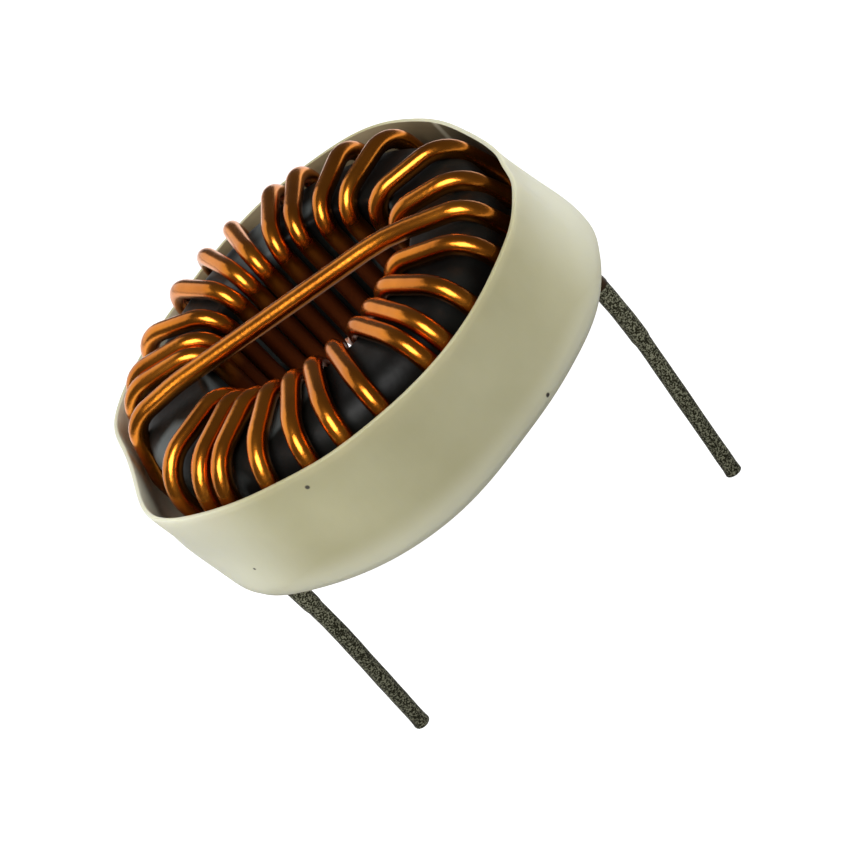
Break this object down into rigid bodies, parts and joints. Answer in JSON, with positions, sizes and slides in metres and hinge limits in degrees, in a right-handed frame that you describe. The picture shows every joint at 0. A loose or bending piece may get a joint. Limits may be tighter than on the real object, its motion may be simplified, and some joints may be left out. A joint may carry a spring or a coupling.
{
  "type": "toroidal inductor",
  "caption": "toroidal inductor: enamelled wire wound round a coated powder ring in a plastic sleeve, with two straight leads to solder through a board",
  "frame": {"origin": "on the board, midway between the two leads", "axes": "+Z points away from the board, parallel to the ring's axis; +X runs from the first lead to the last; +Y runs from the leads towards the ring's axis"},
  "size_m": [0.024, 0.024, 0.0221],
  "materials": {
    "core_coating": "semi-gloss black coating, slightly lumpy",
    "enamelled_wire": "copper under clear amber enamel; the stripped ends are tinned",
    "sleeve_plastic": "thin translucent cream plastic, satin"
  },
  "bodies": {
    "root": {"core": "core_coating", "winding": "enamelled_wire", "sleeve": "sleeve_plastic"}
  },
  "joints": []
}
